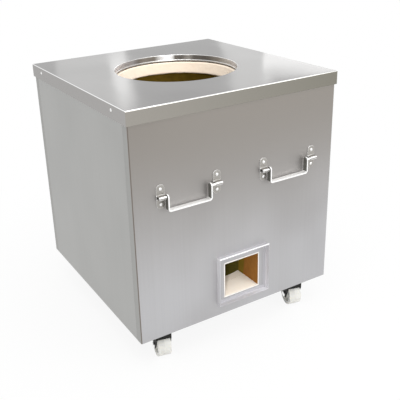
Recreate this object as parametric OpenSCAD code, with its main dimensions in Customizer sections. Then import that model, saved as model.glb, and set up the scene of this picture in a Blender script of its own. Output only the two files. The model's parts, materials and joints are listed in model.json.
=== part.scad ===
// Square clay oven on castors. A clay pot stands on a hearth slab, packed with insulation,
// inside a folded stainless cabinet. The pot's mouth opens through the top cap and a clay-lined
// fire vent opens low in the front panel. Two bail handles hang on the front panel and two on
// the back panel, and four swivel castors carry the base.
// Millimetres, +Z up. The origin is on the floor, under the centre of the cabinet. Front is -Y.

/* [Cabinet] */
// Width of the cabinet across its side panels
body_w = 710; // [660:1:900]
// Depth of the cabinet from front panel to back panel
body_d = 710; // [690:1:900]
// Height of the panels
panel_h = 712; // [640:1:900]
// Thickness of the stainless sheet
sheet_t = 1.5; // [1:0.1:2.5]
// Outside radius of the folded corners of the front and back panels
fold_r = 4; // [3:0.5:8]
// Width of the folded returns of the front and back panels
return_w = 28; // [20:1:40]
// Seam between a side panel and a folded return
seam_gap = 0.3; // [0.2:0.1:1]

/* [Top cap] */
// How far the cap stands out past the panels on each side
cap_over = 4; // [3:0.5:8]
// Height of the cap's turned-down flange, with the sheet's thickness
flange_h = 42; // [30:1:60]
// Outside radius of the cap's bends
cap_fold_r = 3.5; // [3:0.5:6]
// Radius of the mouth inside its steel collar
mouth_r = 198; // [170:1:215]
// Depth of the collar below the cap's top face
collar_h = 22; // [15:1:30]
// Radius of the rolled bead at the collar's lower edge
collar_bead_r = 2; // [1.6:0.1:3]
// Distance of a cap rivet from the cabinet's front or back face
rivet_inset = 82; // [40:1:150]
// Distance of a cap rivet below the cap's top face
rivet_drop = 16.5; // [12:0.5:24]
// Radius of a cap rivet's shank
rivet_r = 2.4; // [1.5:0.1:3]
// Radius of a cap rivet's domed head
rivet_head_r = 4.8; // [4:0.1:6]
// Height of a cap rivet's domed head
rivet_head_h = 2; // [1:0.1:3]

/* [Frame] */
// Leg width of the angle bars of the corner posts
post_leg = 45; // [42:1:60]
// Leg width of the angle bars under the top cap
rail_leg = 30; // [20:1:40]
// Thickness of the angle bars
angle_t = 3; // [2:0.5:5]
// Thickness of the base tray
tray_t = 3; // [2:0.5:5]
// Height of the base tray's upturned flanges above its floor
tray_flange_h = 40; // [20:1:60]
// Width of the flat bearers that carry the castors
bearer_w = 110; // [104:1:140]
// Thickness of the bearers
bearer_t = 4; // [3:0.5:8]

/* [Clay pot] */
// Thickness of the round hearth slab under the pot
slab_t = 40; // [25:1:60]
// How far the slab reaches past the pot's foot
slab_over = 20; // [5:1:24]
// Least room for loose fill between the pot's blanket and the nearest panel
belly_gap = 20.5; // [15:0.5:40]
// How much the pot draws in from its belly to its foot
foot_step = 26; // [15:1:40]
// Share of the pot's height at which its belly starts to be drawn out
belly_low = 0.3; // [0.2:0.01:0.4]
// Share of the pot's height at which its belly starts to be drawn in
belly_high = 0.72; // [0.6:0.01:0.8]
// How far the pot's rim reaches out past the steel collar
neck_over = 30; // [25:1:45]
// Thickness of the pot's wall
pot_wall = 28; // [25:1:36]
// How far the pot's thick lip reaches in past the collar at the lip's lower edge
lip_in = 16; // [12:1:30]
// How far the lip reaches in past the collar at its top
lip_top_in = 7; // [4:1:10]
// Height of the lip
lip_h = 36; // [25:1:50]
// Width of the sloping ledge under the lip
lip_ledge = 14; // [8:1:20]
// Height over which the wall opens out below the lip
lip_flare_h = 70; // [50:1:120]
// Radius of the lip's rounded edges
lip_round = 5; // [3:0.5:8]
// How far the lip's rounded inner edge stands up above its rim
lip_crown = 0.5; // [0.3:0.1:2]
// Dark gap between the collar's lower edge and the pot
rim_gap = 4.5; // [3:0.5:10]
// Width of the mortar ring round the pot's mouth
seal_w = 18; // [10:1:20]
// Thickness of the fibre blanket wrapped round the pot
blanket_t = 25; // [10:1:28]

/* [Fire vent] */
// Distance of the vent's middle to the right of the cabinet's middle
vent_x = 6; // [-15:0.5:15]
// Width of the vent inside its clay lining
vent_w = 126; // [90:1:150]
// Height of the vent inside its clay lining
vent_h = 114; // [80:1:150]
// Wall of the clay lining
liner_t = 12; // [8:1:20]
// Wall of the lining's thin nose in the front panel's cut-out
liner_nose_t = 3.7; // [3:0.1:6]
// How far the sheet frame round the vent stands out from the front panel
frame_out = 19; // [10:1:19]
// Bare panel between the vent and the frame at each side
frame_side = 30; // [20:1:40]
// Bare panel between the vent and the frame above it
frame_head = 30; // [20:1:40]
// Bare panel between the vent and the frame below it
frame_sill = 18; // [12:1:20]
// Width of the frame's inner flange on the panel
frame_flange = 10; // [6:1:11]
// Radius of the rolled bead along the frame's top edge
frame_bead_r = 3; // [2:0.25:4]

/* [Handles] */
// Distance of a handle's middle from the cabinet's side face
handle_inset = 179; // [165:1:200]
// Height of the bail's pivot above the panels' lower edge
pivot_h = 453.5; // [300:0.5:600]
// Distance of the pivot from the panel
pivot_out = 13; // [12:0.5:14]
// Distance between the middles of a handle's two brackets
bracket_pitch = 185; // [170:1:200]
// Width of a bracket at the panel
bracket_w = 27; // [25:0.5:30]
// Width of a bracket at its nose
nose_w = 22; // [18:0.5:24]
// Thickness of the bracket's strap
strap_t = 2; // [1.5:0.1:2.5]
// Drop of the bracket's slanting strap, from under its nose to the panel
bracket_foot = 3; // [1:0.5:5]
// Distance of a bracket's upper screw above the pivot
upper_screw_h = 23.5; // [22:0.5:30]
// Distance of a bracket's lower screw below the pivot
lower_screw_h = 22; // [21:0.5:30]
// Radius of the bail's pivot pins
pin_r = 3.5; // [3:0.1:4]
// Length of each pivot pin outside the bail's leg
pin_l = 25; // [22:0.5:26]
// Width of the bail over its two legs
bail_w = 145; // [130:0.5:147]
// Width of the bail's flat strap, measured out from the panel at rest
bail_strap_w = 17; // [10:0.5:18]
// Thickness of the bail's flat strap
bail_t = 4.5; // [3:0.25:6]
// Drop from the pivot to the underside of the grip
bail_drop = 43.5; // [35:0.5:60]
// Outside radius of the bail's lower corners
bail_bend_r = 9; // [8:0.5:14]
// How far the bails hang off the middle of their brackets
bail_shift = 7; // [5:0.1:7.2]

/* [Screws] */
// Radius of a handle screw's shank
screw_r = 2.5; // [2:0.1:3]
// Radius of a handle screw's pan head
screw_head_r = 5; // [4:0.1:6]
// Radius of the flat top of a handle screw's head
screw_crown_r = 3.1; // [2:0.1:3.5]
// Height of a handle screw's pan head
screw_head_h = 3.2; // [2:0.1:4]
// Length of a handle screw behind the panel, with its nut
screw_tail = 8; // [6:0.5:12]
// Distance across a handle screw's nut
nut_w = 8; // [7:0.5:10]
// Thickness of a handle screw's nut
nut_h = 4; // [3:0.5:5]

/* [Castors] */
// Overall height of a castor, floor to plate
castor_h = 97; // [92:0.5:110]
// Diameter of a castor's wheel
wheel_d = 75; // [70:1:80]
// Width of a castor's wheel
wheel_w = 42; // [30:1:44]
// Radius of the wheel's rounded tread edges
tread_r = 2.5; // [2:0.5:8]
// Radius of the wheel's recessed web, outside the hub
web_r = 27; // [22:1:30]
// Depth of the web's recess at each side
web_depth = 9; // [4:0.5:12]
// Radius of the wheel's hub
hub_r = 12; // [9:0.5:15]
// How far the walls of the web's recess lean in
web_draft = 2; // [0.5:0.5:4]
// Distance of a swivel axis from the cabinet's side face
castor_inset_x = 98; // [80:1:125]
// Distance of a swivel axis from the cabinet's front or back face
castor_inset_y = 77; // [75:1:105]
// Distance of the wheel's axle from the swivel axis
trail = 32; // [25:0.5:38]
// Swivel of the front left castor at rest, in degrees
toe_front_left = -13; // [-180:1:180]
// Swivel of the front right castor at rest, in degrees
toe_front_right = -15; // [-180:1:180]
// Swivel of the back left castor at rest, in degrees
toe_back_left = 12; // [-180:1:180]
// Swivel of the back right castor at rest, in degrees
toe_back_right = -5; // [-180:1:180]
// Radius of the axle bolt
axle_r = 5; // [4:0.25:6]
// Width of the axle's head and nut across their flats
axle_nut_w = 16; // [12:0.5:17]
// Thickness of the axle's head and nut
axle_nut_h = 5; // [4:0.5:6]
// Thickness of the fork's sheet
fork_t = 3; // [2:0.25:4]
// Radius of the fork legs' rounded lower ends
leg_r = 12; // [10:0.5:14]
// Radius of the fork's round crown
crown_r = 27; // [25:0.5:30]
// How far the fork's legs reach behind the swivel axis at the crown
crown_back = 22; // [15:0.5:25]
// How far the fork's hood reaches out over the wheel, past its axle
hood_over = 28; // [20:0.5:32]
// Drop of the hood's front lip below the crown
hood_drop = 18; // [8:0.5:19]
// Radius of the king pin
king_r = 5; // [4:0.25:6]
// Radius of the king pin's riveted heads
king_head_r = 8; // [7:0.25:9]
// Height of the king pin's riveted heads
king_head_h = 3; // [2:0.25:4]
// Number of balls in a swivel race
ball_count = 12; // [8:1:14]
// Radius of a ball in a swivel race
ball_r = 2.5; // [2:0.1:3]
// Width of a castor's plate
plate_w = 95; // [90:1:100]
// Depth of a castor's plate
plate_d = 67; // [64:1:90]
// Thickness of a castor's plate
plate_t = 3; // [2.5:0.25:5]
// Distance between a castor's bolts, along the plate's width
bolt_pitch_w = 74; // [70:0.5:76]
// Distance between a castor's bolts, along the plate's depth
bolt_pitch_d = 45; // [42:0.5:50]
// Radius of a castor bolt
bolt_r = 4; // [3:0.25:4]
// Width of a castor bolt's head across its flats
bolt_head_w = 12; // [10:0.5:13]
// Height of a castor bolt's head
bolt_head_h = 5; // [3:0.5:6]

/* [Fits] */
// Radial clearance of the pivot pins and axles in their bores
run_fit = 0.08; // [0.02:0.01:0.1]
// Clearance between the wheel's hub and the fork's legs
hub_gap = 0.4; // [0.3:0.1:1]
// Clearance round packed and fitted pieces
pack_gap = 0.3; // [0.2:0.1:1]
// Radial clearance of a bolt or screw in its hole
bolt_fit = 0.4; // [0.2:0.1:1]

/* [Hidden] */
$fn = 64;
eps = 0.01;
// Lets a straight face cut into a round one, where it would only touch it
skim = 0.05;

// Heights above the floor
body_z = castor_h;
tray_z = body_z + bearer_t;
slab_z = tray_z + tray_t;
pot_z = slab_z + slab_t;
cap_z = body_z + panel_h;
top_z = cap_z + sheet_t;
rim_z = top_z - collar_h - rim_gap;
vent_z = pot_z + liner_t;
pivot_z = body_z + pivot_h;
axle_z = wheel_d / 2;

// Clear space inside the panels, half widths
inner_x = body_w / 2 - sheet_t;
inner_y = body_d / 2 - sheet_t;
// Half length of the rails and tray flanges between the corner posts
rail_x = inner_x - post_leg - pack_gap;
rail_y = inner_y - post_leg - pack_gap;
front_y = -body_d / 2;

// Clay pot
curve_steps = 14;
pot_belly_r = min(body_w, body_d) / 2 - sheet_t - blanket_t - belly_gap;
pot_foot_r = pot_belly_r - foot_step;
pot_neck_r = mouth_r + neck_over;
slab_r = pot_foot_r + slab_over;
lip_r = mouth_r - lip_in;
blanket_top = rim_z - collar_h;

// Handles
handle_x = body_w / 2 - handle_inset;
bracket_loop_r = pin_r + run_fit;
nose_r = bracket_loop_r + strap_t;
tab_r = bracket_w / 2;
bail_leg_x = bail_w / 2 - bail_t / 2;

// Castors
castor_x = body_w / 2 - castor_inset_x;
castor_y = body_d / 2 - castor_inset_y;
leg_x = wheel_w / 2 + hub_gap;
plate_z = castor_h - plate_t;
crown_z = plate_z - fork_t - 2 * (ball_r + pack_gap);
race_r = crown_r - fork_t - pack_gap - ball_r;
cup_z = crown_z + fork_t + hub_gap;
hood_z = crown_z + fork_t;
hood_y = trail + hood_over;

SIDES = [-1, 1];
ENDS = ["front", "back"];
HANDS = ["left", "right"];
CORNERS = ["front_left", "front_right", "back_left", "back_right"];

// Colours, as the finishes look
steel = "silver";
dark_steel = "dimgray";
clay = "moccasin";
nylon = "whitesmoke";

// A point on a cubic curve through four control points
function curve(a, b, c, d, t) =
    pow(1 - t, 3) * a + 3 * pow(1 - t, 2) * t * b + 3 * (1 - t) * pow(t, 2) * c + pow(t, 3) * d;

// Outside of the pot, from its foot to its mouth, moved out by grow
function pot_side(grow, top) = [
    for (i = [0 : curve_steps])
        let (
            t = i / curve_steps,
            p = curve([pot_foot_r, 0], [pot_belly_r, belly_low], [pot_belly_r, belly_high],
                [pot_neck_r, 1], t)
        )
        [p[0] + grow, pot_z + p[1] * (top - pot_z)]
];

// Point on a circle round c, at an angle
function on_circle(c, r, a) = [c[0] + r * cos(a), c[1] + r * sin(a)];

// Angle at which the line from p touches the circle round c, on one side
function touch_angle(p, c, r, side) =
    atan2(p[1] - c[1], p[0] - c[0]) + side * acos(r / norm(p - c));

// Plan of a sheet folded back at both ends, its front edge on y = 0
module folded_plan(w, d, r) {
    translate([-w / 2 + r, 0])
        square([w - 2 * r, d]);
    translate([-w / 2, r])
        square([w, d - r]);
    for (s = SIDES)
        translate([s * (w / 2 - r), r])
            circle(r);
}

// An outline turned upright: its x stays, its y becomes height, and it runs along +Y
module upright(depth) {
    translate([0, depth, 0])
        rotate([90, 0, 0])
            linear_extrude(depth)
                children();
}

// Cylinder along Y, from the plane y = 0 to y = l
module bar_y(r, l) {
    rotate([-90, 0, 0])
        cylinder(r = r, h = l);
}

// Cylinder along X, centred
module bar_x(r, l) {
    rotate([0, 90, 0])
        cylinder(r = r, h = l, center = true);
}

// The front or back panel, its face on y = 0 and its returns towards +Y
module folded_panel() {
    difference() {
        linear_extrude(panel_h)
            difference() {
                folded_plan(body_w, return_w, fold_r);
                translate([0, sheet_t])
                    folded_plan(body_w - 2 * sheet_t, return_w, fold_r - sheet_t);
            }
        for (s = SIDES)
            translate([s * handle_x, -eps, pivot_h])
                bracket_holes(sheet_t + 2 * eps);
    }
}

// Holes of one handle's four screws, round its pivot line
module bracket_holes(depth) {
    for (s = SIDES, z = [upper_screw_h, -lower_screw_h])
        translate([s * bracket_pitch / 2, 0, z])
            bar_y(screw_r + bolt_fit, depth);
}

module front_panel() {
    color(steel)
        difference() {
            translate([0, front_y, body_z])
                folded_panel();
            translate([0, front_y - eps, vent_z - liner_nose_t - pack_gap])
                upright(sheet_t + 2 * eps)
                    translate([vent_x - vent_w / 2 - liner_nose_t - pack_gap, 0])
                        square([
                            vent_w + 2 * (liner_nose_t + pack_gap),
                            vent_h + 2 * (liner_nose_t + pack_gap)
                        ]);
        }
}

module back_panel() {
    color(steel)
        translate([0, body_d / 2, body_z])
            rotate(180)
                folded_panel();
}

// A flat side panel between the folded returns
module side_panel(side) {
    flat = body_d - 2 * (return_w + seam_gap);
    color(steel)
        difference() {
            translate([side > 0 ? inner_x : -body_w / 2, -flat / 2, body_z])
                cube([sheet_t, flat, panel_h]);
            cap_rivet_holes(side);
        }
}

module cap_rivet_holes(side) {
    for (s = SIDES)
        translate([side * body_w / 2, s * (body_d / 2 - rivet_inset), top_z - rivet_drop])
            bar_x(rivet_r, 2 * (cap_over + sheet_t + angle_t));
}

// Block with rounded upper edges, its lower face on z = 0
module capped_block(w, d, h, r) {
    intersection() {
        translate([0, -d / 2, 0])
            upright(d)
                translate([0, h])
                    mirror([0, 1])
                        folded_plan(w, h, r);
        rotate(90)
            translate([0, -w / 2, 0])
                upright(w)
                    translate([0, h])
                        mirror([0, 1])
                            folded_plan(d, h, r);
    }
}

module top_cap() {
    w = body_w + 2 * cap_over;
    d = body_d + 2 * cap_over;
    color(steel)
        difference() {
            translate([0, 0, top_z - flange_h])
                capped_block(w, d, flange_h, cap_fold_r);
            translate([0, 0, top_z - flange_h - eps])
                capped_block(w - 2 * sheet_t, d - 2 * sheet_t, flange_h - sheet_t + eps,
                    cap_fold_r - sheet_t);
            translate([0, 0, cap_z - eps])
                cylinder(r = mouth_r + sheet_t, h = sheet_t + 2 * eps);
            for (s = SIDES)
                cap_rivet_holes(s);
        }
}

// Steel ring welded into the cap's hole, with a rounded top edge and a rolled lower edge
module mouth_collar() {
    color(steel)
        rotate_extrude() {
            translate([mouth_r, top_z - collar_h + collar_bead_r])
                square([sheet_t, collar_h - collar_bead_r - sheet_t / 2]);
            translate([mouth_r + sheet_t / 2, top_z - sheet_t])
                square([sheet_t / 2, sheet_t]);
            translate([mouth_r + sheet_t / 2, top_z - sheet_t / 2])
                circle(sheet_t / 2);
            translate([mouth_r + collar_bead_r, top_z - collar_h + collar_bead_r])
                circle(collar_bead_r);
        }
}

// Domed rivets through the cap's side flanges, the panels and the top rails
module cap_rivets() {
    color(steel)
        for (side = SIDES, s = SIDES)
            translate([0, s * (body_d / 2 - rivet_inset), top_z - rivet_drop])
                rotate([0, side * 90, 0])
                    rivet();
}

// One rivet along +Z, its head outside the cap's flange
module rivet() {
    base = body_w / 2 + cap_over;
    tail = inner_x - angle_t;
    dome_r = (pow(rivet_head_r, 2) + pow(rivet_head_h, 2)) / (2 * rivet_head_h);
    translate([0, 0, tail - rivet_head_h])
        cylinder(r = rivet_r, h = base - tail + rivet_head_h + eps);
    translate([0, 0, tail - rivet_head_h])
        cylinder(r = (rivet_r + rivet_head_r) / 2, h = rivet_head_h);
    intersection() {
        translate([0, 0, base + rivet_head_h - dome_r])
            sphere(dome_r);
        translate([0, 0, base])
            cylinder(r = rivet_head_r, h = 2 * rivet_head_h);
    }
}

// Floor tray: the hearth's plate, turned up between the corner posts
module base_tray() {
    color(dark_steel) {
        translate([0, 0, tray_z])
            linear_extrude(tray_t)
                intersection() {
                    translate([0, -inner_y])
                        folded_plan(2 * inner_x, 2 * inner_y, fold_r - sheet_t);
                    translate([0, inner_y])
                        mirror([0, 1])
                            folded_plan(2 * inner_x, 2 * inner_y, fold_r - sheet_t);
                }
        for (s = SIDES) {
            translate([-rail_x, s > 0 ? inner_y - tray_t : -inner_y, tray_z])
                cube([2 * rail_x, tray_t, tray_t + tray_flange_h]);
            translate([s > 0 ? inner_x - tray_t : -inner_x, -rail_y, tray_z])
                cube([tray_t, 2 * rail_y, tray_t + tray_flange_h]);
        }
    }
}

// Two flat bars under the tray, tapped for the castors' bolts
module castor_bearers() {
    color(dark_steel)
        difference() {
            for (s = SIDES)
                translate([-inner_x + fold_r, s * castor_y - bearer_w / 2, body_z])
                    cube([2 * (inner_x - fold_r), bearer_w, bearer_t]);
            for (x = SIDES, y = SIDES)
                translate([x * castor_x, y * castor_y, body_z - eps])
                    castor_bolt_holes(bolt_r, bearer_t + 2 * eps);
        }
}

module castor_bolt_holes(r, depth) {
    for (x = SIDES, y = SIDES)
        translate([x * bolt_pitch_w / 2, y * bolt_pitch_d / 2, 0])
            cylinder(r = r, h = depth);
}

// Plan of one angle bar, its outer corner at the origin and rounded to sit in the fold
module post_plan() {
    r = fold_r - sheet_t;
    difference() {
        union() {
            translate([r, 0])
                square([post_leg - r, post_leg]);
            translate([0, r])
                square([post_leg, post_leg - r]);
            translate([r, r])
                circle(r);
        }
        translate([angle_t, angle_t])
            square(post_leg);
    }
}

module corner_posts() {
    color(dark_steel)
        for (mx = [0, 1], my = [0, 1])
            mirror([mx, 0, 0])
                mirror([0, my, 0])
                    translate([-inner_x, -inner_y, slab_z])
                        linear_extrude(cap_z - slab_z)
                            post_plan();
}

// Four angle bars between the posts, under the cap's edges
module top_rails() {
    color(dark_steel)
        difference() {
            for (s = SIDES) {
                translate([-rail_x, 0, 0])
                    top_rail([2 * rail_x, s * inner_y]);
                rotate(90)
                    translate([-rail_y, 0, 0])
                        top_rail([2 * rail_y, s * inner_x]);
            }
            for (s = SIDES)
                cap_rivet_holes(s);
        }
}

// One rail along X: size[0] long, its outer face on y = size[1]
module top_rail(size) {
    out = size[1] > 0 ? 1 : 0;
    translate([0, size[1] - out * angle_t, cap_z - rail_leg])
        cube([size[0], angle_t, rail_leg]);
    translate([0, size[1] - out * rail_leg, cap_z - angle_t])
        cube([size[0], rail_leg, angle_t]);
}

module hearth_slab() {
    color(clay)
        translate([0, 0, slab_z])
            cylinder(r = slab_r, h = slab_t);
}

// The pot's wall: an outer belly, an inner belly, and a thick lip that leans in
module clay_pot() {
    outer = pot_side(0, rim_z);
    inner_top = rim_z - lip_h - lip_flare_h;
    inner = [for (p = pot_side(-pot_wall, rim_z)) if (p[1] < inner_top) p];
    edge = [mouth_r - lip_top_in + lip_round, rim_z - lip_round + lip_crown];
    color(clay)
        difference() {
            rotate_extrude()
                union() {
                    difference() {
                        polygon(concat([[0, pot_z]], outer, [[0, rim_z]]));
                        polygon(concat(
                            [[0, pot_z - 1]], [[inner[0][0], pot_z - 1]], inner,
                            [
                                [lip_r + lip_ledge, rim_z - lip_h - lip_round],
                                [lip_r + lip_round, rim_z - lip_h],
                                [lip_r, rim_z - lip_h + lip_round],
                                edge, [edge[0], top_z], [0, top_z]
                            ]
                        ));
                    }
                    translate(edge)
                        circle(lip_round);
                }
            translate([vent_x - vent_w / 2, -2 * pot_belly_r, vent_z])
                cube([vent_w, 2 * pot_belly_r, vent_h]);
        }
}

// Mortar ring that seats the collar and the cap on the pot
module mouth_seal() {
    color("tan")
        rotate_extrude()
            translate([mouth_r + 2 * collar_bead_r + pack_gap, rim_z])
                square([seal_w, cap_z - rim_z]);
}

module fibre_blanket() {
    color("ivory")
        difference() {
            rotate_extrude()
                difference() {
                    polygon(concat([[0, pot_z]], pot_side(blanket_t, blanket_top), [[0, blanket_top]]));
                    polygon(concat(
                        [[0, pot_z - 1]], [[pot_foot_r + pack_gap, pot_z - 1]],
                        pot_side(pack_gap, rim_z), [[0, rim_z]]
                    ));
                }
            vent_core(pack_gap);
        }
}

// Room taken by the vent liner, grown by a clearance
module vent_core(gap) {
    w = vent_w + 2 * liner_t + 2 * gap;
    translate([vent_x - w / 2, -body_d, vent_z - liner_t - gap])
        cube([w, body_d, vent_h + 2 * liner_t + 2 * gap]);
}

// Loose fill between the blanket and the panels, clear of the corner posts
module loose_fill() {
    wall = max(angle_t, tray_t) + pack_gap;
    reach = inner_x + inner_y - post_leg - wall - pack_gap;
    fill_top = cap_z - rail_leg - pack_gap;
    color("wheat")
        difference() {
            translate([0, 0, slab_z])
                linear_extrude(fill_top - slab_z)
                    intersection() {
                        square([2 * (inner_x - wall), 2 * (inner_y - wall)], center = true);
                        rotate(45)
                            square(reach * sqrt(2), center = true);
                    }
            rotate_extrude()
                polygon(concat(
                    [[0, slab_z - 1], [slab_r + pack_gap, slab_z - 1], [slab_r + pack_gap, pot_z]],
                    pot_side(blanket_t + pack_gap, blanket_top),
                    [[pot_neck_r + blanket_t + pack_gap, top_z], [0, top_z]]
                ));
            vent_core(pack_gap);
            for (face = ENDS, hand = HANDS)
                at_handle(hand, face)
                    for (s = SIDES, z = [upper_screw_h, -lower_screw_h])
                        translate([s * bracket_pitch / 2, pivot_out, z])
                            bar_y(nut_w / (2 * cos(30)) + pack_gap, sheet_t + screw_tail + pack_gap);
        }
}

// Clay-lined duct from the front panel's cut-out to the pot's wall
module vent_liner() {
    mouth_w = vent_w + 2 * liner_nose_t;
    mouth_h = vent_h + 2 * liner_nose_t;
    color(clay)
        difference() {
            union() {
                translate([vent_x - vent_w / 2 - liner_t, front_y + sheet_t, vent_z - liner_t])
                    cube([vent_w + 2 * liner_t, body_d / 2 - sheet_t, vent_h + 2 * liner_t]);
                translate([vent_x - mouth_w / 2, front_y, vent_z - liner_nose_t])
                    cube([mouth_w, sheet_t + eps, mouth_h]);
            }
            translate([vent_x - vent_w / 2, front_y - eps, vent_z])
                cube([vent_w, body_d, vent_h]);
            rotate_extrude()
                polygon(concat(
                    [[0, pot_z - liner_t], [pot_foot_r + pack_gap, pot_z - liner_t]],
                    pot_side(pack_gap, rim_z), [[0, rim_z]]
                ));
        }
}

// Sheet box round the vent: four walls, a flange on the panel and a rolled bead on top
module vent_frame() {
    w = vent_w + 2 * frame_side;
    h = vent_h + frame_sill + frame_head;
    color(steel)
        translate([vent_x, front_y - frame_out, vent_z - frame_sill]) {
            difference() {
                translate([-w / 2, 0, 0])
                    cube([w, frame_out, h]);
                translate([-w / 2 + sheet_t, -eps, sheet_t])
                    cube([w - 2 * sheet_t, frame_out - sheet_t + eps, h - 2 * sheet_t]);
                translate([-w / 2 + frame_flange, -eps, frame_flange])
                    cube([w - 2 * frame_flange, frame_out + 2 * eps, h - 2 * frame_flange]);
            }
            translate([0, frame_bead_r, h])
                bar_x(frame_bead_r, w);
        }
}

// Front outline of a bracket: rounded tabs above and below
module bracket_face() {
    for (z = [upper_screw_h, -lower_screw_h])
        translate([0, z])
            circle(tab_r);
    translate([-tab_r, -lower_screw_h])
        square([bracket_w, upper_screw_h + lower_screw_h]);
}

// The bracket's nose along X, before its sides are cut: a shelf from the panel, a loop curled
// round the pin, and a strap that slants back to the panel. The panel's face is on y = 0.
module bracket_nose() {
    pin = [pivot_out, 0];
    foot = [0, -nose_r - bracket_foot];
    turn = touch_angle(foot, pin, nose_r, 1);
    inner = on_circle(pin, bracket_loop_r - skim, turn);
    inner_foot_h = inner[1] - (strap_t - inner[0]) / tan(turn);
    rotate([90, 0, -90])
        difference() {
            union() {
                translate([pivot_out, 0, -bracket_w / 2])
                    cylinder(r = nose_r, h = bracket_w);
                linear_extrude(bracket_w, center = true)
                    polygon([
                        [0, nose_r], [pivot_out, nose_r], [pivot_out + bracket_loop_r, 0],
                        on_circle(pin, nose_r, turn), foot
                    ]);
            }
            translate([pivot_out, 0, -bracket_w])
                cylinder(r = bracket_loop_r, h = 2 * bracket_w);
            linear_extrude(2 * bracket_w, center = true)
                polygon([
                    [strap_t, bracket_loop_r - skim], [pivot_out, bracket_loop_r - skim], pin,
                    inner, [strap_t, inner_foot_h]
                ]);
        }
}

// Room for the nose seen from above: as wide as the tabs at the panel, narrower at the front
module nose_plan() {
    linear_extrude(2 * bracket_w, center = true)
        polygon([
            [-bracket_w / 2, strap_t], [-bracket_w / 2, -strap_t],
            [-nose_w / 2, -pivot_out / 2], [-nose_w / 2, -2 * pivot_out],
            [nose_w / 2, -2 * pivot_out], [nose_w / 2, -pivot_out / 2],
            [bracket_w / 2, -strap_t], [bracket_w / 2, strap_t]
        ]);
}

// One bracket round its pivot, its back on the plane y = pivot_out
module bracket() {
    color(steel)
        translate([0, pivot_out, 0])
            difference() {
                union() {
                    translate([0, -strap_t, 0])
                        upright(strap_t)
                            bracket_face();
                    intersection() {
                        bracket_nose();
                        nose_plan();
                    }
                }
                translate([0, -strap_t - eps, 0])
                    for (z = [upper_screw_h, -lower_screw_h])
                        translate([0, 0, z])
                            bar_y(screw_r + bolt_fit, strap_t + 2 * eps);
            }
}

// Places its child at a handle's pivot: the handle's side, and front or back
module at_handle(hand, face) {
    x = (hand == "left" ? -1 : 1) * handle_x;
    if (face == "front")
        translate([x, front_y - pivot_out, pivot_z])
            children();
    else
        translate([x, -front_y + pivot_out, pivot_z])
            rotate(180)
                children();
}

// A handle's bracket on its own left (-1) or right (1)
module placed_bracket(hand, face, side) {
    at_handle(hand, face)
        translate([side * bracket_pitch / 2, 0, 0])
            bracket();
}

// Front outline of the bail's strap, hanging from the pivot line
module bail_outline() {
    difference() {
        translate([0, -bail_drop])
            folded_plan(bail_w, bail_drop, bail_bend_r);
        translate([0, -bail_drop + bail_t])
            folded_plan(bail_w - 2 * bail_t, bail_drop, bail_bend_r - bail_t);
    }
}

// Bail: a flat strap bent to a U, with a pivot pin standing out of each leg
module bail() {
    color(steel)
        translate([-bail_shift, 0, 0]) {
            translate([0, -bail_strap_w / 2, 0])
                upright(bail_strap_w)
                    bail_outline();
            for (s = SIDES) {
                translate([s * bail_leg_x, 0, 0])
                    bar_x(bail_strap_w / 2, bail_t);
                translate([s * (bail_w / 2 + pin_l / 2 - eps), 0, 0])
                    bar_x(pin_r, pin_l);
            }
        }
}

// Pan-head screws through the brackets, with their nuts inside the cabinet
module handle_screws() {
    color(steel)
        for (face = ENDS, hand = HANDS)
            at_handle(hand, face)
                for (s = SIDES, z = [upper_screw_h, -lower_screw_h])
                    translate([s * bracket_pitch / 2, pivot_out - strap_t, z])
                        handle_screw();
}

// One screw along +Y, its head's seat on y = 0
module handle_screw() {
    rim_h = screw_head_h / 2;
    translate([0, -rim_h, 0])
        bar_y(screw_head_r, rim_h);
    translate([0, -screw_head_h, 0])
        rotate([-90, 0, 0])
            cylinder(r1 = screw_crown_r, r2 = screw_head_r, h = rim_h + eps);
    bar_y(screw_r, strap_t + sheet_t + screw_tail);
    translate([0, strap_t + sheet_t, 0])
        rotate([-90, 0, 0])
            cylinder(d = nut_w / cos(30), h = nut_h, $fn = 6);
}

// Places its child at a castor's swivel axis; the parts that swivel are turned to rest
module at_castor(corner, swivels = false) {
    x = (corner == "front_left" || corner == "back_left") ? -1 : 1;
    y = (corner == "front_left" || corner == "front_right") ? -1 : 1;
    toe = corner == "front_left" ? toe_front_left
        : corner == "front_right" ? toe_front_right
        : corner == "back_left" ? toe_back_left
        : toe_back_right;
    translate([x * castor_x, y * castor_y, 0])
        rotate(swivels ? toe : 0)
            children();
}

// Castor plate: flat, with a pressed cup that hangs down into the swivel race
module castor_plate(corner) {
    cup_r = race_r - ball_r - pack_gap;
    color(dark_steel)
        at_castor(corner)
            difference() {
                union() {
                    translate([-plate_w / 2, -plate_d / 2, plate_z])
                        cube([plate_w, plate_d, plate_t]);
                    translate([0, 0, cup_z])
                        cylinder(r = cup_r, h = plate_z - cup_z + eps);
                }
                translate([0, 0, cup_z + fork_t])
                    cylinder(r = cup_r - fork_t, h = castor_h);
                cylinder(r = king_r, h = 2 * castor_h);
                castor_bolt_holes(bolt_r + bolt_fit, 2 * castor_h);
            }
}

// King pin: riveted over in the cup above and under the crown below
module king_pin(corner) {
    low = crown_z - hub_gap - king_head_h;
    high = cup_z + fork_t;
    color(dark_steel)
        at_castor(corner) {
            translate([0, 0, low])
                cylinder(r = king_r, h = high + king_head_h - low);
            translate([0, 0, low])
                cylinder(r1 = king_r, r2 = king_head_r, h = king_head_h);
            translate([0, 0, high])
                cylinder(r1 = king_head_r, r2 = king_r, h = king_head_h);
        }
}

// Ring of steel balls between the plate's cup and the fork's crown
module ball_race(corner) {
    color("silver")
        at_castor(corner)
            for (i = [0 : ball_count - 1])
                rotate(i * 360 / ball_count)
                    translate([race_r, 0, plate_z - ball_r - pack_gap])
                        sphere(ball_r);
}

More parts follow.
